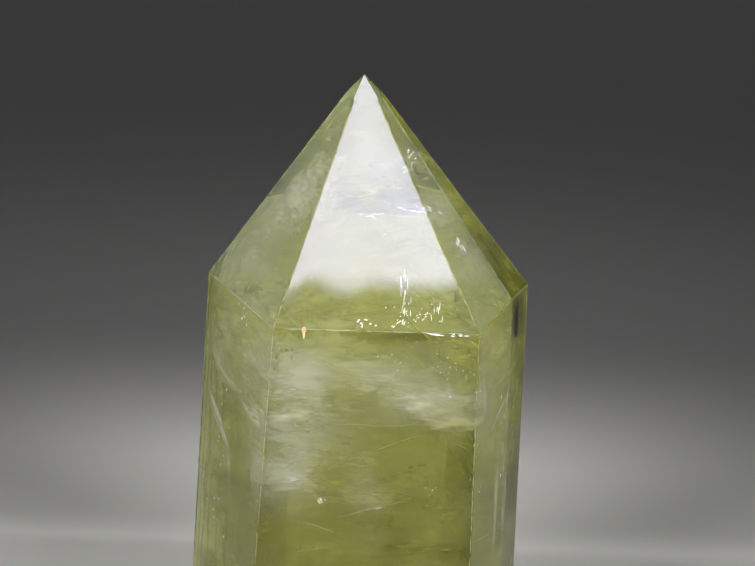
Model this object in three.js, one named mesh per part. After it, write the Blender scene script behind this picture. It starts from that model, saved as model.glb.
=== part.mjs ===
// Polished citrine crystal point, standing on its sawn base.
// It grew as one crystal, so it is one solid: a slightly uneven seven-sided prism
// under a cap of seven facets that rise to a tip, which handling has worn blunt.
// Millimetres, +Z up. The origin is the middle of the bounding box, on the ground.

import * as THREE from 'three';
import { ConvexGeometry } from 'three/addons/geometries/ConvexGeometry.js';

// Driving dimensions

const SHOULDER_HEIGHT = 116;                // where the reach of each face is measured
const APEX = new THREE.Vector3(-3, 0.8, 165); // where the cap's edges would meet if sharp
const BASE_BEVEL = 1.2;                     // ground edge round the base

// The prism's faces, anticlockwise as seen from above.
//   bearing  direction of the outward normal, in degrees from +X
//   reach    distance from the growth axis at SHOULDER_HEIGHT
//   taper    how far the face leans in as it rises, in degrees
//   corner   height of the shoulder where this face meets the one before it
const FACES = [
  { bearing: 207.2, reach: 32.4, taper: 2.7, corner: 116.6 }, // left
  { bearing: 272.8, reach: 29.7, taper: 0, corner: 116.3 },   // front
  { bearing: 334.2, reach: 33.8, taper: 0.3, corner: 115.7 }, // front right
  { bearing: 345.2, reach: 33.4, taper: 0.3, corner: 117.9 }, // narrow extra face
  { bearing: 29.7, reach: 31.2, taper: -0.3, corner: 115.4 }, // back right
  { bearing: 90, reach: 31, taper: 1, corner: 115.7 },        // back
  { bearing: 150.3, reach: 31.2, taper: 1, corner: 116.3 },   // back left
];

// The worn tip, as rings of points: how far below APEX each ring lies, and how wide
// it is beside the sharp cap at that height.
const TIP_WEAR = [
  { depth: 6, spread: 1 },
  { depth: 2.8, spread: 0.66 },
  { depth: 1.6, spread: 0.15 },
];

const CITRINE = { color: 0x9da565, roughness: 0.06, metalness: 0 };

// Distance from the axis to a face's plane at a given height.
function reachAt(face, height) {
  const lean = Math.tan(THREE.MathUtils.degToRad(face.taper));
  return face.reach + (SHOULDER_HEIGHT - height) * lean;
}

// The point where two neighbouring faces meet at a given height, with both faces
// moved in by `inset`.
function cornerAt(faceA, faceB, height, inset = 0) {
  const a = THREE.MathUtils.degToRad(faceA.bearing);
  const b = THREE.MathUtils.degToRad(faceB.bearing);
  const reachA = reachAt(faceA, height) - inset;
  const reachB = reachAt(faceB, height) - inset;
  const turn = Math.sin(b - a);
  return new THREE.Vector3(
    (reachA * Math.sin(b) - reachB * Math.sin(a)) / turn,
    (reachB * Math.cos(a) - reachA * Math.cos(b)) / turn,
    height,
  );
}

// Points on the cap edge that runs from the apex down to one shoulder corner.
function capEdgePoints(shoulder) {
  const fall = APEX.z - shoulder.z;
  return TIP_WEAR.map(({ depth, spread }) => {
    const along = depth / fall;
    return new THREE.Vector3(
      APEX.x + (shoulder.x - APEX.x) * along * spread,
      APEX.y + (shoulder.y - APEX.y) * along * spread,
      APEX.z - depth,
    );
  });
}

function crystalPoints() {
  const points = [];
  FACES.forEach((face, i) => {
    const previous = FACES[(i + FACES.length - 1) % FACES.length];
    const shoulder = cornerAt(previous, face, face.corner);
    points.push(shoulder);
    points.push(...capEdgePoints(shoulder));
    points.push(cornerAt(previous, face, BASE_BEVEL));
    points.push(cornerAt(previous, face, 0, BASE_BEVEL));
  });
  return points;
}

// Moves the geometry so that its bounding box stands on the origin.
function standOnOrigin(geometry) {
  geometry.computeBoundingBox();
  const { min, max } = geometry.boundingBox;
  geometry.translate(-(min.x + max.x) / 2, -(min.y + max.y) / 2, -min.z);
}

function crystalPoint() {
  const geometry = new ConvexGeometry(crystalPoints());
  standOnOrigin(geometry);
  const mesh = new THREE.Mesh(geometry, new THREE.MeshStandardMaterial(CITRINE));
  mesh.name = 'crystal_point';
  return mesh;
}

const group = new THREE.Group();
group.add(crystalPoint());

export default group;
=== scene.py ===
import math
import random

import bmesh
import bpy
from mathutils import Matrix, Vector, noise


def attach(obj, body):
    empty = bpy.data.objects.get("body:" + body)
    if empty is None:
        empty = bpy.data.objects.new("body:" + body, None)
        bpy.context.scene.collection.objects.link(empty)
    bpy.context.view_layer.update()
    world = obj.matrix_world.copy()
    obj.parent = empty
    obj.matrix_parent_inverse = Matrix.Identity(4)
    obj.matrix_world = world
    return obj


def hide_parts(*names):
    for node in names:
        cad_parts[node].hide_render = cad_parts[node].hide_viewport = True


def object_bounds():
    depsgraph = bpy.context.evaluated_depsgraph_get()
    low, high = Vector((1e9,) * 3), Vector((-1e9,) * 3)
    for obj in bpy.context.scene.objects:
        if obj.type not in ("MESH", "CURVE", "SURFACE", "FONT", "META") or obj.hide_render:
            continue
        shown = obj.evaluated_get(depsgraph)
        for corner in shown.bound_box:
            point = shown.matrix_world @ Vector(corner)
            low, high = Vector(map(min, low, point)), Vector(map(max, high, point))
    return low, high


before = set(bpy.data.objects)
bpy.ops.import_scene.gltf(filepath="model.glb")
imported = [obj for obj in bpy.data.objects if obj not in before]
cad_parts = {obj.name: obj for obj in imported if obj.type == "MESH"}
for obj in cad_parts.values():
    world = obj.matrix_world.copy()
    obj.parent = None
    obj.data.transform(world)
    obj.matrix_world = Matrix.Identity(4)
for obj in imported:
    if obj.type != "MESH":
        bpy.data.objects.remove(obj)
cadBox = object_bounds()  # low and high corner, in metres
mm = 0.001
print("frame loaded, box", [round(v / mm, 1) for corner in cadBox for v in corner])


# helpers shared by the pieces

def wholeFaces(node):
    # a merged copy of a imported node, its triangles joined into flat faces again
    bm = bmesh.new()
    bm.from_mesh(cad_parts[node].data)
    bmesh.ops.remove_doubles(bm, verts=bm.verts, dist=0.01 * mm)
    bmesh.ops.dissolve_limit(bm, angle_limit=math.radians(0.3), verts=bm.verts, edges=bm.edges)
    return bm


def readWalls(bm, smallest=20 * mm * mm):
    # the large flat faces, each as a point on it and its outward normal
    return [(f.calc_center_median(), f.normal.copy()) for f in bm.faces if f.calc_area() > smallest]


source = wholeFaces("crystal_point")
walls = readWalls(source)
source.free()


def wallDepths(point):
    # how far a point lies under each face, the nearest first
    return sorted((spot - point).dot(normal) for spot, normal in walls)


def depthInside(point):
    return wallDepths(point)[0]  # negative outside


def trimToCrystal(bm, skin):
    # cuts away whatever lies outside the crystal or in its outer skin
    for spot, normal in walls:
        parts = bm.verts[:] + bm.edges[:] + bm.faces[:]
        bmesh.ops.bisect_plane(bm, geom=parts, dist=1e-7, plane_co=spot - normal * skin,
                               plane_no=normal, clear_outer=True)


def finishPiece(bm, name, material, smooth=True):
    mesh = bpy.data.meshes.new(name)
    bm.to_mesh(mesh)
    bm.free()
    for face in mesh.polygons:
        face.use_smooth = smooth
    piece = bpy.data.objects.new(name, mesh)
    bpy.context.scene.collection.objects.link(piece)
    mesh.materials.append(material)
    piece.visible_shadow = False  # what is sealed in the glass gets its light through the glass alone
    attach(piece, "root")
    return piece


def newMaterial(name):
    material = bpy.data.materials.new(name)
    material.use_nodes = True
    material.node_tree.nodes.clear()
    return material, material.node_tree.nodes, material.node_tree.links


def addNode(nodes, kind, sockets):
    # a shader node with some of its sockets set by name
    node = nodes.new(kind)
    for name, value in sockets.items():
        node.inputs[name].default_value = value
    return node


def joinSheet(whole, sheet):
    # adds a finished sheet to the bmesh that holds its whole piece
    mesh = bpy.data.meshes.new("sheet")
    sheet.to_mesh(mesh)
    sheet.free()
    whole.from_mesh(mesh)
    bpy.data.meshes.remove(mesh)


# the crystal itself: clear tinted glass with softly worn edges
crystal = {
    "ior": 1.544,
    "edgeWidth": 0.34 * mm,
    "tipLeft": 3 * mm,                  # the worn tip is left as it is, this far down
    "absorbColour": (0.87, 0.90, 0.0, 1),
    "absorbDensity": 25.0,
    "polishScale": 32,                  # slow waves that hand polishing leaves
    "polishDepth": 0.16 * mm,
}


def citrineMaterial():
    material, nodes, links = newMaterial("polishedCitrine")
    out = nodes.new("ShaderNodeOutputMaterial")
    glass = addNode(nodes, "ShaderNodeBsdfPrincipled", {
        "Base Color": (1, 1, 1, 1), "Transmission Weight": 1, "IOR": crystal["ior"], "Roughness": 0})
    tint = addNode(nodes, "ShaderNodeVolumeAbsorption", {"Color": crystal["absorbColour"],
                                                         "Density": crystal["absorbDensity"]})
    place = nodes.new("ShaderNodeTexCoord")
    waves = addNode(nodes, "ShaderNodeTexNoise", {"Scale": crystal["polishScale"], "Detail": 2,
                                                  "Roughness": 0.35})
    bump = addNode(nodes, "ShaderNodeBump", {"Strength": 1, "Distance": crystal["polishDepth"]})
    links.new(place.outputs["Object"], waves.inputs["Vector"])
    links.new(waves.outputs["Fac"], bump.inputs["Height"])
    links.new(bump.outputs["Normal"], glass.inputs["Normal"])
    links.new(glass.outputs[0], out.inputs["Surface"])
    links.new(tint.outputs[0], out.inputs["Volume"])
    return material


def buildCrystal():
    bm = wholeFaces("crystal_point")
    tipHeight = cadBox[1].z - crystal["tipLeft"]
    edges = [e for e in bm.edges if max(v.co.z for v in e.verts) < tipHeight]
    bmesh.ops.bevel(bm, geom=edges, offset=crystal["edgeWidth"], offset_type="OFFSET", segments=2,
                    profile=0.5, affect="EDGES", clamp_overlap=True, material=-1)
    bmesh.ops.recalc_face_normals(bm, faces=bm.faces)
    body = finishPiece(bm, "crystal_body", citrineMaterial(), smooth=False)
    body.visible_shadow = True
    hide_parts("crystal_point")


buildCrystal()
print("crystal body built")


# haze shells that follow the faces
haze = {
    "insets": (0.9, 2.2, 4.2, 7, 11, 16, 22),       # mm under the faces, measured at the shoulder
    "thickness": (0.5, 0.6, 0.9, 1.2, 1.5, 1.7, 2),  # share of the haze that each shell carries
    "reach": 33,                        # mm from the axis to the faces
    "middle": 70 * mm,                  # height that the shells shrink towards
    "cell": 2.6 * mm,
    "wave": 0.4,                        # share of its depth that a shell wanders
    "mostWave": 1.6 * mm,
    "waveLength": 13 * mm,
    "ownWave": 3.1,                     # sets the waves of one shell apart from the next
    "skin": 0.25 * mm,
    "strength": 0.15,
    "corner": 3 * mm,                   # shells thin out near their own edges, so that these stay soft
    "cornerBack": 0.1,                  # share of the haze that is left on those edges at the back
    "cornerFront": 0.75,                # and how much more at the front
    "cornerTurn": (5 * mm, 15 * mm),    # how far forward the back turns to the front
    "seed": 3,
}

# wavy layers across the growth axis
layers = {
    "count": 13,
    "grid": 34,
    "half": 48 * mm,                    # half the side of a layer before it is trimmed
    "wave": 4 * mm,
    "waveLength": 24 * mm,
    "ownWave": 1.7,
    "tilt": 6,                          # degrees
    "skin": 0.3 * mm,
    "strength": 0.19,
    "fade": 9 * mm,                     # the layers stop softly this far under the faces
    "seed": 11,
}

# what shells and layers share
milky = {
    "white": (0.93, 0.93, 0.87, 1),
    "warm": (0.60, 0.60, 0.20, 1),
    "warmPatch": 38,                    # scale of the patches that turn from white to warm
    "warmFrom": 0.44,
    "warmFull": 0.70,
    "darkTop": 92 * mm,                # the milk turns warmer and darker from here down
    "darkFull": 60 * mm,
    "darkening": 0.28,                      # how much warmer it is then
    "fade": 1.0 * mm,                   # the shells thin out within this depth of the faces
    "clearBack": 0.7,                   # share of the haze that is left in the clearer back half
    "backLean": 0.4,                    # the clearer half starts further forward at the right
    "backFrom": -18 * mm,
    "backFull": 12 * mm,
    "clearFoot": 0.6,                   # share that is left near the foot
    "footTop": 108 * mm,
    "footFull": 45 * mm,
    "bands": (60 * mm, 60 * mm, 12 * mm),  # size of the thick and thin stretches of haze
    "bandSwing": 1.6,
    "bandLeast": 0.15,
}

# thicker clouds, and clearer spots with a minus: middle, half sizes (both in mm) and strength
clouds = [
    ((2, -25, 103), (32, 8, 6), 0.15),
    ((-9, -28, 105), (12, 5, 3.5), 0.08),
    ((-16, -29.5, 100.3), (8, 3, 1.6), 0.35),
    ((8, -26, 92), (18, 7, 6), 0.12),
    ((14, -26, 84), (12, 7, 6), 0.07),
    ((0, -26, 78), (20, 7, 6), 0.06),
    ((-3, -28, 101.5), (8, 4, 1.5), 0.3),
    ((10, -28, 101.5), (8, 4, 2.2), 0.3),
    ((18, -27, 101), (7, 4, 2.5), 0.25),
    ((-16, -29, 96.5), (8, 4, 2), 0.45),
    ((21.6, -28.5, 93.8), (5.2, 4, 2), 1.1),
    ((15, -28, 99.5), (6, 4, 1.8), 0.35),
    ((12, -28, 98.5), (7, 4, 1.5), 0.25),
    ((-13, -27, 87), (9, 5, 4), 0.28),
    ((-8, -27, 81), (9, 5, 3), 0.3),
    ((-19, -28, 75), (6, 5, 3), 0.28),
    ((6, -28, 74.5), (6, 3, 1.2), 0.45),
    ((13, -25, 80), (10, 6, 2), 0.2),
    ((16, -27, 66), (10, 4, 1.5), 0.2),
    ((-10, -26, 66), (10, 5, 4), 0.15),
    ((8, -27, 91.5), (14, 6, 2.2), -0.05),
    ((14, -27, 84.5), (10, 5, 2), -0.07),
    ((-14, -28.5, 96), (8, 3.5, 2.4), 0.3),
    ((10, -28, 82), (15, 5, 18), 0.12),
    ((23, -26, 80), (5, 6, 22), 0.16),
    ((-18.5, -28.5, 66), (6, 4, 16), 0.13),
    ((12, -27, 70), (12, 6, 3), -0.15),
    ((5, -27, 112.5), (5, 6, 2.5), -0.25),
    ((-3, -27, 109), (5, 5, 2), -0.2),
    ((-16, -28, 110), (5, 5, 2), 0.12),
    ((5, -27, 110.5), (20, 5, 3), -0.05),
    ((2, -19, 116.5), (22, 13, 3.5), -0.5),
    ((-8, -4, 145), (6, 8, 8), 0.4),
    ((-14, -11, 132), (9, 9, 4), 0.3),
    ((-9, -8, 138), (6, 7, 3), 0.3),
    ((-20, -14, 123), (7, 8, 5), 0.1),
    ((9, -4, 143), (5, 8, 8), 0.2),
    ((16, -9, 135), (5, 8, 5), 0.4),
    ((23, -20, 118), (5, 6, 4), 0.15),
    ((22, -12, 128), (6, 7, 2), 0.25),
    ((-24, -14, 120), (8, 8, 5), -0.12),
    ((24, -16, 119), (5, 6, 4), -0.15),
    ((-22, -18, 104), (5, 5, 5), 0.3),
    ((-29, -10, 108), (4, 6, 6), 0.2),
    ((-21.7, -21.5, 93.9), (3, 4, 5), 0.2),
    ((-28.2, -9.4, 89.4), (5, 5, 5), -0.2),
    ((-24.5, -17, 88), (5, 4, 3.5), -0.2),
    ((-30.1, -8.2, 64), (5, 5, 12), -0.2),
    ((-29.1, -11.3, 53), (5, 5, 8), -0.2),
    ((-24.2, -20, 60), (4, 4, 6), -0.15),
    ((-3, 0, 157), (5, 5, 8), 0.35),
    ((35.5, -2, 117), (2, 3, 1.5), 0.4),
    ((34, -10, 108), (5, 10, 20), -0.4),
    ((34, -12, 80), (4, 8, 14), -0.2),
    ((24, 2, 80), (7, 15, 50), 0.3),
    ((-23, 6, 85), (7, 14, 50), 0.2),
    ((20, 12, 110), (12, 10, 6), 0.3),
    ((-12, 16, 92), (14, 9, 5), 0.35),
    ((8, 18, 62), (16, 9, 6), 0.35),
    ((-20, 4, 48), (12, 14, 7), 0.35),
    ((22, -6, 40), (10, 14, 6), 0.35),
    ((0, 0, 24), (26, 22, 7), 0.3),
    ((4, 8, 132), (8, 8, 6), 0.3),
    ((-10, -27, 50), (14, 6, 3), 0.25),
    ((12, -27, 43), (12, 6, 3), 0.3),
    ((-6, -26, 33), (16, 7, 4), 0.25),
    ((14, -25, 22), (10, 8, 4), 0.25),
    ((-18, -22, 14), (10, 8, 4), 0.3),
    ((30, -4, 46), (4, 10, 5), 0.3),
    ((30, 4, 24), (4, 10, 5), 0.3),
    ((-28, -8, 30), (5, 8, 6), 0.25),
    ((-26, 14, 44), (6, 8, 5), 0.3),
    ((-10, 26, 30), (14, 5, 5), 0.3),
    ((14, 24, 46), (12, 5, 4), 0.3),
    ((22, 20, 88), (8, 6, 5), 0.3),
    ((-22, 16, 104), (7, 7, 5), 0.3),
    ((0, 0, 1.9), (60, 60, 1.4), 0.5),
]


# cloudy streaks in all the milk: a share from Low to High, curdled a little
wispy = {
    "stretch": (0.8, 1, 2.8),           # streaks lie flat
    "puffs": {"Detail": 4, "Roughness": 0.62},
    "curds": {"Scale": 260, "Detail": 1, "Roughness": 0.6},
    "sockets": {"Size": 60.0, "Thin": 0.36, "Thick": 0.70, "Low": 0.3, "High": 1.9, "Curdle": 0.28},
}


def wispGroup():
    group = bpy.data.node_groups.new("cloudyWisps", "ShaderNodeTree")
    face = group.interface
    face.new_socket(name="Vector", in_out="INPUT", socket_type="NodeSocketVector")
    for name, value in wispy["sockets"].items():
        face.new_socket(name=name, in_out="INPUT", socket_type="NodeSocketFloat").default_value = value
    face.new_socket(name="Share", in_out="OUTPUT", socket_type="NodeSocketFloat")
    nodes, links = group.nodes, group.links
    inside = nodes.new("NodeGroupInput")
    outside = nodes.new("NodeGroupOutput")
    flatten = addNode(nodes, "ShaderNodeMapping", {"Scale": wispy["stretch"]})
    puffs = addNode(nodes, "ShaderNodeTexNoise", wispy["puffs"])
    curds = addNode(nodes, "ShaderNodeTexNoise", wispy["curds"])
    stir = nodes.new("ShaderNodeMath")  # brings the curds about zero
    stir.operation = "SUBTRACT"
    stir.inputs[1].default_value = 0.5
    mix = nodes.new("ShaderNodeMath")
    mix.operation = "MULTIPLY_ADD"
    spread = nodes.new("ShaderNodeMapRange")
    spread.interpolation_type = "SMOOTHSTEP"
    links.new(inside.outputs["Vector"], flatten.inputs["Vector"])
    links.new(flatten.outputs[0], puffs.inputs["Vector"])
    links.new(flatten.outputs[0], curds.inputs["Vector"])
    links.new(inside.outputs["Size"], puffs.inputs["Scale"])
    links.new(curds.outputs["Fac"], stir.inputs[0])
    links.new(stir.outputs[0], mix.inputs[0])
    links.new(inside.outputs["Curdle"], mix.inputs[1])
    links.new(puffs.outputs["Fac"], mix.inputs[2])
    links.new(mix.outputs[0], spread.inputs["Value"])
    ends = {"Thin": "From Min", "Thick": "From Max", "Low": "To Min", "High": "To Max"}
    for name, socket in ends.items():
        links.new(inside.outputs[name], spread.inputs[socket])
    links.new(spread.outputs[0], outside.inputs["Share"])
    return group


wisps = wispGroup()


def tintedMilk(nodes, links, place):
    # white milk that turns warm in slow patches, and warmer and darker towards the foot
    patches = addNode(nodes, "ShaderNodeTexNoise", {"Scale": milky["warmPatch"], "Detail": 1,
                                                    "Roughness": 0.5})
    split = nodes.new("ShaderNodeSeparateXYZ")
    sink = nodes.new("ShaderNodeMapRange")
    sink.interpolation_type = "SMOOTHSTEP"
    sink.inputs["From Min"].default_value = milky["darkTop"]
    sink.inputs["From Max"].default_value = milky["darkFull"]
    sink.inputs["To Max"].default_value = milky["darkening"]
    add = nodes.new("ShaderNodeMath")
    lean = nodes.new("ShaderNodeMapRange")
    lean.interpolation_type = "SMOOTHSTEP"
    lean.inputs["From Min"].default_value = milky["warmFrom"]
    lean.inputs["From Max"].default_value = milky["warmFull"]
    tint = nodes.new("ShaderNodeMix")
    tint.data_type = "RGBA"
    tint.inputs["A"].default_value = milky["white"]
    tint.inputs["B"].default_value = milky["warm"]
    links.new(place.outputs["Object"], patches.inputs["Vector"])
    links.new(place.outputs["Object"], split.inputs[0])
    links.new(split.outputs["Z"], sink.inputs["Value"])
    links.new(patches.outputs["Fac"], add.inputs[0])
    links.new(sink.outputs[0], add.inputs[1])
    links.new(add.outputs[0], lean.inputs["Value"])
    links.new(lean.outputs[0], tint.inputs["Factor"])
    return tint.outputs["Result"]


def milkMaterial(name, colour=None, pattern=None):
    # milk is lit from both sides, and clear wherever its streaks leave it thin
    material, nodes, links = newMaterial(name)
    out = nodes.new("ShaderNodeOutputMaterial")
    front = nodes.new("ShaderNodeBsdfDiffuse")
    behind = nodes.new("ShaderNodeBsdfTranslucent")
    streaks = nodes.new("ShaderNodeGroup")
    streaks.node_tree = wisps
    if pattern:  # one colour, with streaks drawn out along the sheet itself
        front.inputs["Color"].default_value = behind.inputs["Color"].default_value = colour
        for key, value in pattern.items():
            streaks.inputs[key].default_value = value
        flat = nodes.new("ShaderNodeUVMap")
        flat.uv_map = "veil"
        drawn = addNode(nodes, "ShaderNodeMapping", {"Scale": veils["streaks"]})
        links.new(flat.outputs["UV"], drawn.inputs["Vector"])
        links.new(drawn.outputs[0], streaks.inputs["Vector"])
    else:
        place = nodes.new("ShaderNodeTexCoord")
        tint = tintedMilk(nodes, links, place)
        links.new(tint, front.inputs["Color"])
        links.new(tint, behind.inputs["Color"])
        links.new(place.outputs["Object"], streaks.inputs["Vector"])
    milk = nodes.new("ShaderNodeAttribute")
    milk.attribute_name = "milk"
    share = nodes.new("ShaderNodeMath")
    share.operation = "MULTIPLY"
    share.use_clamp = True
    both = addNode(nodes, "ShaderNodeMixShader", {"Fac": 0.5})
    clear = nodes.new("ShaderNodeBsdfTransparent")
    blend = nodes.new("ShaderNodeMixShader")
    links.new(streaks.outputs["Share"], share.inputs[0])
    links.new(milk.outputs["Fac"], share.inputs[1])
    links.new(front.outputs[0], both.inputs[1])
    links.new(behind.outputs[0], both.inputs[2])
    links.new(share.outputs[0], blend.inputs[0])
    links.new(clear.outputs[0], blend.inputs[1])
    links.new(both.outputs[0], blend.inputs[2])
    links.new(blend.outputs[0], out.inputs["Surface"])
    return material


def ease(value, start, end):
    # 0 before start, 1 after end, smooth between
    share = min(1, max(0, (value - start) / (end - start)))
    return share * share * (3 - 2 * share)


def milkAt(point, strength, fade):
    # how milky the crystal is at a point: a banded haze, thicker inside the clouds
    band = noise.noise(Vector([point[i] / milky["bands"][i] for i in range(3)]))
    milk = strength * max(milky["bandLeast"], 1 + milky["bandSwing"] * band)
    back = ease(point.y + milky["backLean"] * point.x, milky["backFrom"], milky["backFull"])
    milk *= 1 - (1 - milky["clearBack"]) * back
    foot = 1 - ease(point.z, milky["footFull"], milky["footTop"])
    milk *= 1 - (1 - milky["clearFoot"]) * foot
    for middle, half, share in clouds:
        away = Vector([(point[i] - middle[i] * mm) / (half[i] * mm) for i in range(3)])
        milk += share * math.exp(-away.length_squared)
    return max(0, milk) * ease(depthInside(point), 0, fade)


def cutToCells(bm, size):
    # rules lines over a mesh at even steps along each axis, so that it can be bent
    for axis in range(3):
        values = [v.co[axis] for v in bm.verts]
        steps = int((max(values) - min(values)) / size)
        normal = Vector([1 if i == axis else 0 for i in range(3)])
        for step in range(1, steps + 1):
            spot = normal * (min(values) + (step - 0.5) * size)
            parts = bm.verts[:] + bm.edges[:] + bm.faces[:]
            bmesh.ops.bisect_plane(bm, geom=parts, dist=1e-6, plane_co=spot, plane_no=normal)


def buildShells():
    noise.seed_set(haze["seed"])
    whole = bmesh.new()
    milk = whole.verts.layers.float.new("milk")
    shellOf = whole.verts.layers.float.new("shell")
    for k, inset in enumerate(haze["insets"]):
        shell = wholeFaces("crystal_point")
        ownShell = shell.verts.layers.float.new("shell")
        middle = Matrix.Translation((0, 0, haze["middle"]))
        shrink = Matrix.Scale(1 - inset / haze["reach"], 4)
        bmesh.ops.transform(shell, matrix=middle @ shrink @ middle.inverted(), verts=shell.verts)
        cutToCells(shell, haze["cell"])
        wander = min(haze["mostWave"], haze["wave"] * inset * mm)
        for vert in shell.verts:
            spot = vert.co / haze["waveLength"] + Vector((0, 0, haze["ownWave"] * k))
            vert.co += noise.noise_vector(spot) * wander
            vert[ownShell] = haze["strength"] * haze["thickness"][k]
        trimToCrystal(shell, haze["skin"])
        joinSheet(whole, shell)
    for vert in whole.verts:
        near = wallDepths(vert.co)
        least = haze["cornerBack"] + haze["cornerFront"] * ease(-vert.co.y, *haze["cornerTurn"])
        corner = least + (1 - least) * ease(near[1] - near[0], 0, haze["corner"])
        vert[milk] = milkAt(vert.co, vert[shellOf], milky["fade"]) * corner
    finishPiece(whole, "haze_shells", milkMaterial("milkyHaze"))


def buildLayers():
    dice = random.Random(layers["seed"])
    low, high = cadBox
    whole = bmesh.new()
    milk = whole.verts.layers.float.new("milk")
    middle = Vector(((low.x + high.x) / 2, (low.y + high.y) / 2, 0))
    for k in range(layers["count"]):
        height = low.z + (high.z - low.z) * (k + 0.5) / layers["count"]
        sheet = bmesh.new()
        bmesh.ops.create_grid(sheet, x_segments=layers["grid"], y_segments=layers["grid"],
                              size=layers["half"])
        leans = [math.radians(dice.uniform(-1, 1) * layers["tilt"]) for axis in "XY"]
        turn = Matrix.Rotation(leans[0], 4, "X") @ Matrix.Rotation(leans[1], 4, "Y")
        bmesh.ops.transform(sheet, matrix=Matrix.Translation(middle + Vector((0, 0, height))) @ turn,
                            verts=sheet.verts)
        for vert in sheet.verts:
            spot = vert.co / layers["waveLength"]
            vert.co.z += layers["wave"] * noise.noise(Vector((spot.x, spot.y, k * layers["ownWave"])))
        trimToCrystal(sheet, layers["skin"])
        joinSheet(whole, sheet)
    for vert in whole.verts:
        vert[milk] = milkAt(vert.co, layers["strength"], layers["fade"])
    finishPiece(whole, "milky_layers", milkMaterial("milkyLayer"))


buildShells()
print("haze shells built")
buildLayers()
print("milky layers built")


# veils: healed cracks, most of them nearly edge on to the front
veils = {
    "cells": (34, 18),
    "wave": 0.9 * mm,
    "waveLength": 13 * mm,
    "ownWave": 5.3,
    "ownStreaks": 0.2,                  # metres between the streaks of one veil and the next
    "skin": 0.25 * mm,
    "white": (0.93, 0.93, 0.95, 1),
    # the dark colour of the veils that paint shade
    "darkening": (0.035, 0.04, 0.02, 1),
    "streaks": (0.3, 1.3, 1),           # how the streaks are drawn out along a veil
    "milk": {"Size": 150.0, "Thin": 0.36, "Thick": 0.7, "Low": 0.1, "High": 1.6},
    # streaks for the veils that paint shade
    "shadeStreaks": {"Size": 150.0, "Thin": 0.36, "Thick": 0.7, "Low": 0.4, "High": 1.3},
}

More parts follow.
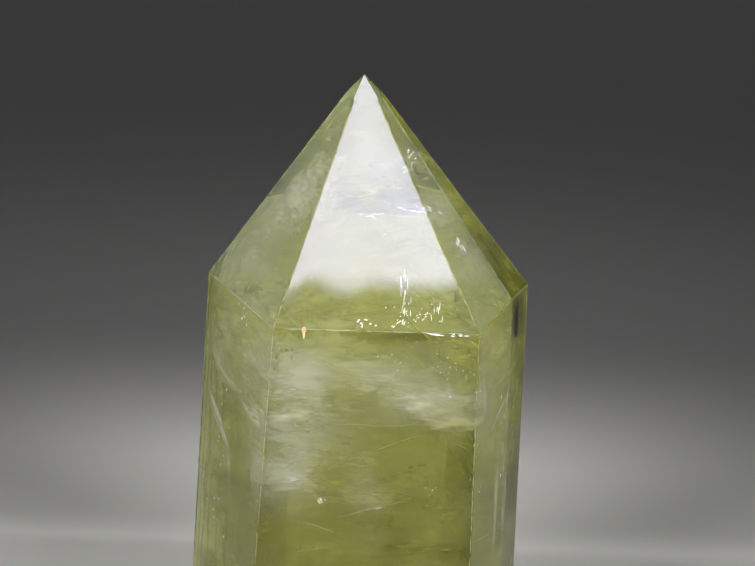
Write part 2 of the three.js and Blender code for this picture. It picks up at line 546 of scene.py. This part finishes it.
# middle, direction along, direction across, size along and across (mm), strength
veilPlan = [
    ((6, -25, 87.0), (1, 0, 0.34), (0, 0.963, -0.27), (40, 11), 0.6),
    ((1, -25.5, 83.4), (1, 0, 0.235), (0, 0.963, -0.27), (30, 9), 0.7),
    ((8, -24, 83.5), (1, 0, 0.26), (0, 0.96, -0.31), (30, 12), 0.3),
    ((2, -25, 92.6), (1, 0, 0.03), (0, 0.963, -0.26), (46, 12), 0.4),
    ((-12, -26, 99.6), (1, 0, 0.0), (0, 0.96, -0.25), (20, 10), 0.4),
    ((14, -24, 96), (1, 0, -0.12), (0, 0.96, -0.33), (26, 12), 0.3),
    ((4, -25, 72.3), (1, 0, 0.26), (0, 0.963, -0.28), (22, 10), 0.45),
    ((16, -24, 62), (1, 0, 0.22), (0, 0.963, -0.29), (22, 10), 0.4),
    ((0, -18, 74), (1, 0, -0.06), (0, 0.96, -0.35), (44, 16), 0.3),
    ((-11.5, -26, 75.5), (1, 0, 0.38), (0, 0.963, -0.27), (21, 9), 0.5),
    ((-5, -26, 67), (1, 0, -0.45), (0, 0.963, -0.27), (15, 8), 0.45),
    ((-9, -25, 61.5), (1, 0, 0.12), (0, 0.96, -0.28), (26, 10), 0.4),
    ((8, -25, 68.5), (1, 0, -0.12), (0, 0.963, -0.27), (22, 9), 0.35),
    ((-24, -13, 101), (0.40, -0.76, -0.52), (0.46, 0.84, -0.24), (36, 12), 0.45),
    ((-25, -10, 90), (0.40, -0.76, -0.60), (0.46, 0.84, -0.36), (34, 12), 0.35),
    ((-22, -12, 96), (0.30, -0.56, -0.80), (0.46, 0.84, -0.28), (38, 9), 0.5),
    ((22, -11, 126), (0.30, -0.45, -0.84), (-0.30, 0.80, -0.40), (13, 5), 0.8),
    ((24, -13, 121), (0.30, -0.50, -0.80), (-0.30, 0.80, -0.60), (12, 4), 0.7),
    ((11.5, -16, 138.5), (1, 0.1, -0.30), (0, 0.9, -0.36), (8, 3), 0.6),
    ((31, -8, 96), (0.1, 0.1, 1), (-0.36, 0.9, -0.2), (44, 8), 0.5),
    ((32.5, -12, 84), (0.05, 0.1, 1), (-0.40, 0.88, -0.2), (50, 6), 0.45),
    ((30, -14, 70), (0.02, 0.1, 1), (-0.40, 0.88, -0.2), (46, 6), 0.4),
    ((-29.3, -9.6, 84.6), (0.35, -0.73, -0.59), (0.30, -0.51, 0.81), (19, 4), 1.0),
    ((-26.4, -16.4, 73), (0.08, -0.25, -0.97), (0.45, -0.85, 0.26), (18, 2.6), 0.8),
    ((-27.9, -11, 97.7), (0.42, -0.86, -0.29), (0.17, -0.24, 0.95), (20, 6), 0.7),
    ((-21.6, -23.6, 93.8), (0.43, -0.87, -0.24), (0.15, -0.19, 0.97), (16, 6), 0.7),
    ((-20.4, -27.9, 76.6), (0.28, -0.63, -0.73), (0.36, -0.63, 0.69), (14, 4), 0.6),
    ((-33.2, -4.8, 57.2), (0.01, -0.12, -0.99), (0.46, -0.88, 0.11), (30, 2.6), 0.6),
    ((30.6, -18.5, 108.4), (-0.41, -0.85, -0.33), (0.15, 0.29, -0.94), (9, 1.6), 1.0),
    ((33.1, -13.5, 97.6), (-0.14, -0.3, -0.94), (0.41, 0.85, -0.33), (12, 2.4), 1.0),
    ((31, -18, 92), (-0.38, -0.78, -0.49), (0.22, 0.44, -0.87), (12, 2.2), 1.0),
    ((33.6, -12.6, 72.7), (-0.02, -0.06, -1), (0.43, 0.90, -0.06), (26, 3), 0.8),
    ((31.3, -17.3, 68), (0, -0.02, -1), (0.43, 0.90, -0.02), (34, 3), 0.6),
    ((27.6, -24.8, 100.8), (0.05, 0.08, -1), (0.43, 0.90, 0.1), (22, 4), 0.5),
    ((10, 14, 118), (1, 0.2, 0.3), (0.1, -0.9, -0.2), (36, 22), 0.35),
    ((-14, 10, 74), (0.5, 0.8, 0.25), (0.8, -0.5, 0.1), (34, 24), 0.35),
    ((16, 6, 54), (0.3, 1, -0.25), (1, -0.3, -0.1), (36, 22), 0.35),
    ((0, 4, 36), (1, 0.3, 0.22), (-0.2, 1, 0.15), (44, 30), 0.3),
    ((2, -24, 48), (1, 0, 0.3), (0, 0.96, -0.28), (34, 12), 0.45),
    ((-6, -24, 38), (1, 0, -0.2), (0, 0.96, -0.28), (30, 12), 0.4),
    ((10, -22, 26), (1, 0.1, 0.3), (0, 0.96, -0.3), (32, 14), 0.4),
    ((-8, -20, 16), (1, 0, -0.1), (0, 0.95, -0.3), (30, 14), 0.35),
    ((0, 24, 50), (1, 0.1, -0.3), (0, 0.93, 0.35), (36, 14), 0.4),
    ((-6, 22, 92), (1, -0.1, 0.25), (0, 0.93, 0.35), (34, 14), 0.45),
    ((26, 4, 40), (-0.3, 1, 0.3), (0.9, 0.3, 0.3), (30, 12), 0.4),
    ((-26, 6, 66), (-0.3, -1, 0.3), (-0.9, 0.3, 0.3), (30, 12), 0.4),
]

# painted shade: dark veils under the narrow face and the cap facet above it, which keep them dark
paintedShadePlan = [
    ((35.0, -7.5, 108.5), (0, 0, 1), (0.255, 0.967, 0), (22, 17), 1.1),
    ((35.4, -7.6, 78), (0, 0, 1), (0.255, 0.967, 0), (52, 15), 0.5),
    ((28.2, -6.3, 123.6), (0.593, -0.112, -0.797), (0.26, 0.96, 0.06), (26, 17), 0.7),
]


def buildVeils(name, plan, material):
    whole = bmesh.new()
    milk = whole.verts.layers.float.new("milk")
    whole.loops.layers.uv.new("veil")
    for k, (middle, along, across, size, strength) in enumerate(plan):
        xAxis = Vector(along).normalized()
        zAxis = xAxis.cross(Vector(across)).normalized()
        yAxis = zAxis.cross(xAxis)
        turn = Matrix((xAxis, yAxis, zAxis)).transposed().to_4x4()
        sheet = bmesh.new()
        ownMilk = sheet.verts.layers.float.new("milk")
        bmesh.ops.create_grid(sheet, x_segments=veils["cells"][0], y_segments=veils["cells"][1], size=0.5)
        for vert in sheet.verts:
            rim = max(0, 1 - (2 * vert.co.x) ** 2) * max(0, 1 - (2 * vert.co.y) ** 2)
            vert[ownMilk] = strength * rim
        bmesh.ops.scale(sheet, vec=(size[0] * mm, size[1] * mm, 1), verts=sheet.verts)
        flat = sheet.loops.layers.uv.new("veil")
        for face in sheet.faces:
            for loop in face.loops:
                # metres along and across the veil
                loop[flat].uv = (loop.vert.co.x + veils["ownStreaks"] * k, loop.vert.co.y)
        for vert in sheet.verts:
            spot = vert.co / veils["waveLength"]
            vert.co.z += veils["wave"] * noise.noise(Vector((spot.x, spot.y, veils["ownWave"] * k)))
        place = Matrix.Translation(Vector(middle) * mm)
        bmesh.ops.transform(sheet, matrix=place @ turn, verts=sheet.verts)
        trimToCrystal(sheet, veils["skin"])
        joinSheet(whole, sheet)
    finishPiece(whole, name, material)


buildVeils("healed_veils", veilPlan, milkMaterial("featheryVeil", veils["white"], veils["milk"]))
# dark veils that paint shade where the crystal should look dark
buildVeils("painted_shade_veils", paintedShadePlan, milkMaterial("paintedShadeVeil", veils["darkening"], veils["shadeStreaks"]))
print("veils built")


# bright flecks: needles, chips and specks, lit up by a painted glint
flecks = {
    "white": (0.68, 0.70, 1.0, 1),      # bluish, to stay white through the tinted glass
    "glow": 1.9,                        # painted glint: an emission that lifts the flecks, as glints do
    "rough": (0.75, 1.1),               # how uneven the lumps are
    "flatness": (0.4, 1),
    "reach": 0.6,                       # share of its length at which its ends are tested
    "margin": 0.7,                      # widths of crystal that are left round them
    "scatter": 0.5,                     # how wide a cluster spreads, for its half sizes
    "tries": 6,                         # for each fleck that has to find its place
    "seed": 5,
}

# middle, half sizes of the cluster, how many, lengths, widths (all mm) and the way they run
fleckPlan = [
    ((9.8, -21, 122), (1.2, 1.5, 4.5), 11, (1.2, 4.5), (0.07, 0.13), (0, 0, 1)),
    ((10.4, -23, 118), (1.0, 1.5, 2), 7, (0.8, 2.5), (0.08, 0.16), (0, 0, 1)),
    ((16.8, -23, 118), (1.2, 1.5, 3), 9, (0.8, 3.2), (0.07, 0.14), (0, 0, 1)),
    ((13, -23.5, 117), (6, 2, 2), 26, (0.2, 0.5), (0.12, 0.26), (1, 0, 0.3)),
    ((18, -28.6, 115.1), (7, 0.4, 0.25), 12, (0.5, 1.5), (0.16, 0.3), (1, 0, 0)),
    ((1.5, -26.5, 116.2), (2.2, 1, 0.8), 9, (0.3, 0.7), (0.18, 0.36), (1, 0, 0.6)),
    ((9, -26.5, 116), (1.6, 1, 1), 10, (0.4, 1.0), (0.10, 0.2), (0.6, 0, 1)),
    ((21, -13, 129), (2, 2, 2.5), 10, (0.8, 2.0), (0.10, 0.2), (0.5, -0.4, -1)),
    ((9.5, -6, 146), (1.5, 2, 2.6), 11, (0.3, 0.9), (0.12, 0.26), (1, 0, 0.8)),
    ((12.5, -12, 136.6), (4, 0.8, 0.6), 12, (0.6, 1.8), (0.08, 0.17), (1, 0, -0.28)),
    ((3, -13, 135.4), (3, 0.8, 0.4), 9, (0.4, 1.2), (0.08, 0.17), (1, 0, 0.1)),
    ((-12.3, -28, 80), (1.9, 1, 0.3), 12, (0.3, 0.8), (0.10, 0.24), (1, 0, 0)),
    ((-6.8, -28, 74.8), (0.8, 0.6, 0.5), 9, (0.25, 0.6), (0.12, 0.28), (1, 0, 0)),
    ((6.4, -28, 73.4), (0.7, 0.5, 0.5), 6, (0.25, 0.6), (0.12, 0.28), (1, 0, 1)),
    ((8, -26, 105), (5, 2, 5), 12, (0.2, 0.5), (0.08, 0.2), (0, 0, 1)),
    ((20.4, -28, 100.8), (0.5, 0.4, 0.3), 2, (0.5, 0.8), (0.4, 0.5), (1, 0, 0)),
    ((20, -25, 107), (7, 3, 6), 16, (0.2, 0.6), (0.07, 0.17), (0.5, 0, 1)),
    ((18, -24, 76), (7, 3, 5), 10, (0.2, 0.5), (0.08, 0.18), (0, 0, 1)),
    ((-9, -27, 96), (6, 2, 1.5), 12, (0.2, 0.6), (0.07, 0.16), (1, 0, 0.5)),
    ((-23, -15, 113), (2.5, 2, 2.5), 7, (0.3, 1.1), (0.12, 0.25), (0.1, 0, 1)),
    ((-29, -10, 74), (4, 6, 24), 16, (0.3, 1.0), (0.10, 0.2), (0.1, 0, 1)),
    ((30, -6, 90), (5, 9, 26), 20, (0.4, 1.6), (0.10, 0.2), (0, 0, 1)),
    ((0, 10, 84), (26, 18, 60), 150, (0.2, 0.6), (0.07, 0.18), (0.3, 0.2, 1)),
]


def plainMaterial(name, colour, glow=0):
    material, nodes, links = newMaterial(name)
    out = nodes.new("ShaderNodeOutputMaterial")
    skin = addNode(nodes, "ShaderNodeBsdfPrincipled", {
        "Base Color": colour, "Roughness": 0.5, "Emission Color": colour, "Emission Strength": glow})
    links.new(skin.outputs[0], out.inputs["Surface"])
    return material


def addFleck(bm, dice, spot, length, width, way):
    # one splinter: a small rough lump drawn out along its way, if the crystal holds all of it
    sides = (-flecks["reach"], 0, flecks["reach"])
    ends = [spot + Vector(way).normalized() * length * side for side in sides]
    if min(depthInside(end) for end in ends) < flecks["margin"] * width:
        return False
    before = set(bm.verts)
    bmesh.ops.create_icosphere(bm, subdivisions=1, radius=0.5)
    own = [v for v in bm.verts if v not in before]
    for vert in own:
        vert.co *= dice.uniform(*flecks["rough"])
    bmesh.ops.scale(bm, vec=(width, width * dice.uniform(*flecks["flatness"]), length), verts=own)
    turn = Vector(way).to_track_quat("Z", "Y").to_matrix().to_4x4()
    spin = Matrix.Rotation(dice.uniform(0, math.tau), 4, "Z")
    bmesh.ops.transform(bm, matrix=Matrix.Translation(spot) @ turn @ spin, verts=own)
    return True


def scatterFlecks(plan, seed, material, name, lean=0.07):
    dice = random.Random(seed)
    whole = bmesh.new()
    for middle, half, count, lengths, widths, way in plan:
        placed = 0
        for trial in range(count * flecks["tries"]):
            if placed == count:
                break
            offset = [dice.gauss(0, flecks["scatter"]) * reach for reach in half]
            spot = Vector([(middle[i] + offset[i]) * mm for i in range(3)])
            length, width = dice.uniform(*lengths) * mm, dice.uniform(*widths) * mm
            leaning = [way[i] + dice.gauss(0, lean) for i in range(3)]
            placed += addFleck(whole, dice, spot, length, width, leaning)
    finishPiece(whole, name, material, smooth=False)


# the flecks glow with a painted glint
painted_glint = plainMaterial("whiteGlint", flecks["white"], flecks["glow"])
scatterFlecks(fleckPlan, flecks["seed"], painted_glint, "bright_flecks")
print("bright flecks built")


# dark pits just under the surface
pits = {
    "colour": (0.035, 0.04, 0.02, 1),
    "seed": 8,
}

pitPlan = [
    ((-18.0, -31.3, 111.1), (0.1, 0.05, 0.1), 1, (0.9, 1.1), (0.28, 0.34), (0, 0, 1)),
    ((-16.0, -31.25, 111.3), (0.1, 0.05, 0.1), 1, (0.8, 0.9), (0.22, 0.26), (0, 0, 1)),
    ((-14.8, -31.2, 111.2), (0.1, 0.05, 0.1), 1, (0.7, 0.8), (0.28, 0.34), (0, 0, 1)),
    ((-13.6, -31.15, 111.4), (0.3, 0.05, 0.2), 2, (0.8, 1.0), (0.24, 0.3), (0, 0, 1)),
    ((-13.7, -31.15, 109.6), (0.05, 0.05, 0.1), 1, (1.5, 1.7), (0.26, 0.32), (0, 0, 1)),
    ((-17.0, -31.25, 109.4), (0.1, 0.05, 0.1), 1, (0.6, 0.7), (0.24, 0.3), (0, 0, 1)),
    ((-17.5, -31.3, 106.7), (0.1, 0.05, 0.1), 1, (0.6, 0.8), (0.24, 0.3), (0, 0, 1)),
    ((-7.8, -7.2, 147.8), (0.5, 0.3, 0.5), 4, (0.4, 0.7), (0.25, 0.4), (1, 0, 1)),
    ((32.6, -15.0, 112.0), (0.6, 0.6, 4), 6, (0.8, 2.6), (0.10, 0.18), (0, 0, 1)),
    ((30, 4, 60), (6, 14, 40), 12, (0.4, 1.2), (0.10, 0.2), (0, 0, 1)),
]

scatterFlecks(pitPlan, pits["seed"], plainMaterial("darkPit", pits["colour"]), "dark_pits", lean=0.05)
print("dark pits built")


# a small crack whose rainbow is painted: colours and a faint glow stand in for a flare of light
rainbow = {
    "middle": (-11.3, -30.2, 115.0),    # mm
    "size": (0.95, 0.2, 2.6),
    "footWidth": 0.55,                  # share of the width that is left at the foot
    "topWider": 0.75,                   # and how much more at the top
    "widening": (-0.1, 0.4),            # where between foot and top it widens
    "blend": (-0.3, 0.5),               # mm from the middle where foot colour turns to top colour
    "top": (1.0, 0.58, 0.52, 1),
    "foot": (0.92, 0.90, 0.26, 1),
    # a painted flare: the crack glows a little though it is no lamp
    "glow": 0.25,
}


def buildRainbow():
    bm = bmesh.new()
    bmesh.ops.create_icosphere(bm, subdivisions=3, radius=0.5)
    for vert in bm.verts:
        vert.co.x *= rainbow["footWidth"] + rainbow["topWider"] * ease(vert.co.z, *rainbow["widening"])
    bmesh.ops.scale(bm, vec=[side * mm for side in rainbow["size"]], verts=bm.verts)
    bmesh.ops.translate(bm, vec=[side * mm for side in rainbow["middle"]], verts=bm.verts)
    # the colours and glow of a painted rainbow flare
    material, nodes, links = newMaterial("crackPaintedRainbow")
    out = nodes.new("ShaderNodeOutputMaterial")
    place = nodes.new("ShaderNodeTexCoord")
    split = nodes.new("ShaderNodeSeparateXYZ")
    rise = nodes.new("ShaderNodeMapRange")
    rise.interpolation_type = "SMOOTHSTEP"
    rise.inputs["From Min"].default_value = (rainbow["middle"][2] + rainbow["blend"][0]) * mm
    rise.inputs["From Max"].default_value = (rainbow["middle"][2] + rainbow["blend"][1]) * mm
    blend = nodes.new("ShaderNodeMix")
    blend.data_type = "RGBA"
    blend.inputs["A"].default_value = rainbow["foot"]
    blend.inputs["B"].default_value = rainbow["top"]
    skin = addNode(nodes, "ShaderNodeBsdfPrincipled", {"Roughness": 0.4,
                                                       "Emission Strength": rainbow["glow"]})
    links.new(place.outputs["Object"], split.inputs[0])
    links.new(split.outputs["Z"], rise.inputs["Value"])
    links.new(rise.outputs[0], blend.inputs["Factor"])
    links.new(blend.outputs["Result"], skin.inputs["Base Color"])
    links.new(blend.outputs["Result"], skin.inputs["Emission Color"])
    links.new(skin.outputs[0], out.inputs["Surface"])
    finishPiece(bm, "rainbow_crack", material)


buildRainbow()
print("rainbow crack built")


# worn edges: rows of tiny chips under the sharp edges, with a faint painted glow as a highlight
wear = {
    "white": (0.86, 0.88, 0.98, 1),
    # a faint painted highlight: the chips glow a little
    "glow": 0.12,
    "shortest": 12 * mm,                # shorter edges stay clean
    "step": 1.1 * mm,
    "cover": 0.85,                      # share of each edge that carries chips
    "lengths": (1.2 * mm, 2.8 * mm),
    "widths": (0.04 * mm, 0.10 * mm),
    "depth": 0.30 * mm,
    "depthSpread": (0.9, 1.6),
    "seed": 21,
}


def buildWear():
    dice = random.Random(wear["seed"])
    sharp = wholeFaces("crystal_point")
    whole = bmesh.new()
    for edge in sharp.edges:
        start, end = edge.verts[0].co, edge.verts[1].co
        if edge.calc_length() < wear["shortest"]:
            continue
        inward = -(edge.link_faces[0].normal + edge.link_faces[1].normal).normalized()
        along = (end - start).normalized()
        for step in range(int(edge.calc_length() / wear["step"])):
            if dice.random() > wear["cover"]:
                continue
            share = (step + dice.random()) * wear["step"]
            spot = start + along * share + inward * wear["depth"] * dice.uniform(*wear["depthSpread"])
            length, width = dice.uniform(*wear["lengths"]), dice.uniform(*wear["widths"])
            addFleck(whole, dice, spot, length, width, along)
    sharp.free()
    # real chips, whose glow is a painted highlight
    chipped_glint = plainMaterial("chippedEdgeGlint", wear["white"], wear["glow"])
    finishPiece(whole, "edge_wear", chipped_glint, smooth=False)


buildWear()
print("edge wear built")


# floor, lights and camera
stage = {
    "floorColour": (0.76, 0.75, 0.73, 1),
    "floorRadius": 1.2,
    "floorSides": 96,
    "floorGap": 0.15 * mm,              # a breath of air under the polished base, which makes it a mirror
    "skyLow": 0.012,
    "skyTop": 0.09,
    "skyRise": 0.9,                     # height on the sky, from 0 to 1, where it is brightest
    "softboxes": {
        "left": {"spot": (-0.30, -0.42, 0.36), "target": (0, 0, 0.185), "size": (0.30, 0.30),
                 "power": 0.42, "spread": 42},
        "right": {"spot": (0.30, -0.42, 0.36), "target": (0, 0, 0.185), "size": (0.30, 0.30),
                  "power": 0.39, "spread": 42},
        "top": {"spot": (0, 0.05, 0.6), "target": (0, 0.05, 0), "size": (0.25, 0.25),
                "power": 0.11, "spread": 60},
    },
    # a bright panel for the front cap facet, its angles in degrees as seen from the target
    "window": {"colour": (0.73, 0.715, 1.0, 1), "radiance": 14.2, "target": (0, -0.02, 0.14),
               "distance": 0.6, "side": 0.05, "bottom": 24, "lowEdge": 39.9, "softness": 1.5, "top": 81,
               "width": 24, "turn": 3, "wave": 0.02, "waveScale": 22,
               "spill": 0.9},           # what little light comes from below the low edge
    "flag": {"behind": 0.10, "low": 0.045, "high": 0.45, "half": 1.0, "colour": (0.01, 0.01, 0.01, 1)},
    # faint cool panels that the cap's side facets mirror: bearing from the front and rise, in degrees
    "sheen": {"colour": (0.35, 0.45, 1.0, 1), "radiance": 0.8, "half": 0.17,
              "places": {"leftSheen": (-121, 13), "rightSheen": (118, 22)}},
    "camera": {"elevation": 22, "roll": 2, "distance": 0.7, "lens": 150.2, "sensor": 36,
               "target": (4.06 * mm, -1.01 * mm, 115.19 * mm)},
    "bounces": {"all": 20, "diffuse": 6, "glossy": 8, "clear": 128},
}


def stageThing(bm, name):
    mesh = bpy.data.meshes.new(name)
    bm.to_mesh(mesh)
    bm.free()
    thing = bpy.data.objects.new(name, mesh)
    bpy.context.scene.collection.objects.link(thing)
    return thing


def buildFloor():
    bm = bmesh.new()
    bmesh.ops.create_circle(bm, cap_ends=True, radius=stage["floorRadius"],
                            segments=stage["floorSides"])
    bmesh.ops.translate(bm, vec=(0, 0, -stage["floorGap"]), verts=bm.verts)
    floor = stageThing(bm, "floor")
    material, nodes, links = newMaterial("paleFloor")
    out = nodes.new("ShaderNodeOutputMaterial")
    plain = addNode(nodes, "ShaderNodeBsdfPrincipled", {"Base Color": stage["floorColour"],
                                                        "Roughness": 0.7})
    links.new(plain.outputs[0], out.inputs["Surface"])
    floor.data.materials.append(material)


def addSoftbox(name, plan):
    lamp = bpy.data.lights.new(name, "AREA")
    lamp.shape = "RECTANGLE"
    lamp.size, lamp.size_y = plan["size"]
    lamp.energy = plan["power"]
    lamp.spread = math.radians(plan["spread"])
    box = bpy.data.objects.new(name, lamp)
    box.location = plan["spot"]
    aim = Vector(plan["target"]) - Vector(plan["spot"])
    box.rotation_euler = aim.to_track_quat("-Z", "Y").to_euler()
    box.visible_glossy = box.visible_camera = False
    bpy.context.scene.collection.objects.link(box)


def hideFromEye(thing):
    thing.visible_camera = thing.visible_transmission = False


def stagePlane(name, half, matrix):
    # an upright or tilted rectangle, given by half its sides
    bm = bmesh.new()
    bmesh.ops.create_grid(bm, x_segments=1, y_segments=1, size=1)
    bmesh.ops.scale(bm, vec=(half[0], half[1], 1), verts=bm.verts)
    bmesh.ops.transform(bm, matrix=matrix, verts=bm.verts)
    return stageThing(bm, name)


def buildWindow():
    # the bright panel that the front cap facet mirrors, seen only in reflections
    plan = stage["window"]
    middle = math.radians((plan["bottom"] + plan["top"]) / 2)
    away = Vector((plan["side"], -math.cos(middle), math.sin(middle))).normalized()
    sides = (plan["width"], plan["top"] - plan["bottom"])
    half = [plan["distance"] * math.tan(math.radians(side / 2)) for side in sides]
    turn = away.to_track_quat("Z", "Y").to_matrix().to_4x4()
    turn = turn @ Matrix.Rotation(math.radians(plan["turn"]), 4, "Z")
    place = Matrix.Translation(Vector(plan["target"]) + away * plan["distance"])
    panel = stagePlane("window", half, place @ turn)
    # heights on the panel at which the light starts and is full, seen from the target
    rises = [math.radians(plan["lowEdge"] + more) - middle for more in (0, plan["softness"])]
    climbs = [math.sin(middle) + math.tan(rise) * math.cos(middle) for rise in rises]
    start, full = [plan["target"][2] + plan["distance"] * climb + plan["wave"] / 2 for climb in climbs]
    material, nodes, links = newMaterial("windowLight")
    out = nodes.new("ShaderNodeOutputMaterial")
    place = nodes.new("ShaderNodeTexCoord")
    split = nodes.new("ShaderNodeSeparateXYZ")
    drift = addNode(nodes, "ShaderNodeTexNoise", {"Scale": plan["waveScale"], "Detail": 2})
    lift = nodes.new("ShaderNodeMath")
    lift.operation = "MULTIPLY_ADD"
    lift.inputs[1].default_value = plan["wave"]
    edge = nodes.new("ShaderNodeMapRange")
    edge.interpolation_type = "SMOOTHERSTEP"
    edge.inputs["From Min"].default_value = start
    edge.inputs["From Max"].default_value = full
    edge.inputs["To Min"].default_value = plan["spill"]
    edge.inputs["To Max"].default_value = plan["radiance"]
    glow = addNode(nodes, "ShaderNodeEmission", {"Color": plan["colour"]})
    links.new(place.outputs["Object"], split.inputs[0])
    links.new(place.outputs["Object"], drift.inputs["Vector"])
    links.new(drift.outputs["Fac"], lift.inputs[0])
    links.new(split.outputs["Z"], lift.inputs[2])
    links.new(lift.outputs[0], edge.inputs["Value"])
    links.new(edge.outputs[0], glow.inputs["Strength"])
    links.new(glow.outputs[0], out.inputs["Surface"])
    panel.data.materials.append(material)
    hideFromEye(panel)
    panel.visible_diffuse = panel.visible_shadow = False


def buildSheens():
    plan = stage["sheen"]
    material, nodes, links = newMaterial("coolSheen")
    out = nodes.new("ShaderNodeOutputMaterial")
    glow = addNode(nodes, "ShaderNodeEmission", {"Color": plan["colour"], "Strength": plan["radiance"]})
    links.new(glow.outputs[0], out.inputs["Surface"])
    for name, angles in plan["places"].items():
        bearing, rise = [math.radians(angle) for angle in angles]
        level = math.cos(rise)
        away = Vector((math.sin(bearing) * level, -math.cos(bearing) * level, math.sin(rise)))
        turn = away.to_track_quat("Z", "Y").to_matrix().to_4x4()
        middle = Vector(stage["window"]["target"]) + away * stage["window"]["distance"]
        panel = stagePlane(name, (plan["half"], plan["half"]), Matrix.Translation(middle) @ turn)
        panel.data.materials.append(material)
        hideFromEye(panel)
        panel.visible_diffuse = panel.visible_shadow = False


def buildFlag():
    # a black card behind the crystal that keeps the front light off the floor there
    plan = stage["flag"]
    turn = Matrix.Rotation(math.radians(90), 4, "X")
    place = Matrix.Translation((0, plan["behind"], (plan["low"] + plan["high"]) / 2))
    flag = stagePlane("flag", (plan["half"], (plan["high"] - plan["low"]) / 2), place @ turn)
    material, nodes, links = newMaterial("blackCard")
    out = nodes.new("ShaderNodeOutputMaterial")
    plain = addNode(nodes, "ShaderNodeBsdfDiffuse", {"Color": plan["colour"]})
    links.new(plain.outputs[0], out.inputs["Surface"])
    flag.data.materials.append(material)
    hideFromEye(flag)
    flag.visible_glossy = False


def buildLights():
    world = bpy.data.worlds.new("studio")
    bpy.context.scene.world = world
    world.use_nodes = True
    nodes, links = world.node_tree.nodes, world.node_tree.links
    nodes.clear()
    out = nodes.new("ShaderNodeOutputWorld")
    glow = nodes.new("ShaderNodeBackground")
    place = nodes.new("ShaderNodeTexCoord")
    split = nodes.new("ShaderNodeSeparateXYZ")
    rise = nodes.new("ShaderNodeMapRange")
    rise.interpolation_type = "SMOOTHSTEP"
    rise.inputs["From Max"].default_value = stage["skyRise"]
    rise.inputs["To Min"].default_value = stage["skyLow"]
    rise.inputs["To Max"].default_value = stage["skyTop"]
    links.new(place.outputs["Generated"], split.inputs[0])
    links.new(split.outputs["Z"], rise.inputs["Value"])
    links.new(rise.outputs[0], glow.inputs["Strength"])
    links.new(glow.outputs[0], out.inputs["Surface"])


def buildCamera():
    plan = stage["camera"]
    elevation, roll = math.radians(plan["elevation"]), math.radians(plan["roll"])
    back = Vector((0, -math.cos(elevation), math.sin(elevation)))
    data = bpy.data.cameras.new("camera")
    data.lens = plan["lens"]
    data.sensor_width = plan["sensor"]
    eye = bpy.data.objects.new("camera", data)
    turn = (-back).to_track_quat("-Z", "Y").to_matrix().to_4x4() @ Matrix.Rotation(roll, 4, "Z")
    eye.matrix_world = Matrix.Translation(Vector(plan["target"]) + back * plan["distance"]) @ turn
    bpy.context.scene.collection.objects.link(eye)
    bpy.context.scene.camera = eye


buildFloor()
buildLights()
for name, plan in stage["softboxes"].items():
    addSoftbox(name, plan)
buildWindow()
buildSheens()
buildFlag()
buildCamera()
cycles = bpy.context.scene.cycles
cycles.max_bounces = cycles.transmission_bounces = stage["bounces"]["all"]
cycles.diffuse_bounces = stage["bounces"]["diffuse"]
cycles.glossy_bounces = stage["bounces"]["glossy"]
cycles.transparent_max_bounces = stage["bounces"]["clear"]
bpy.context.scene.view_settings.view_transform = "Standard"
print("stage set")
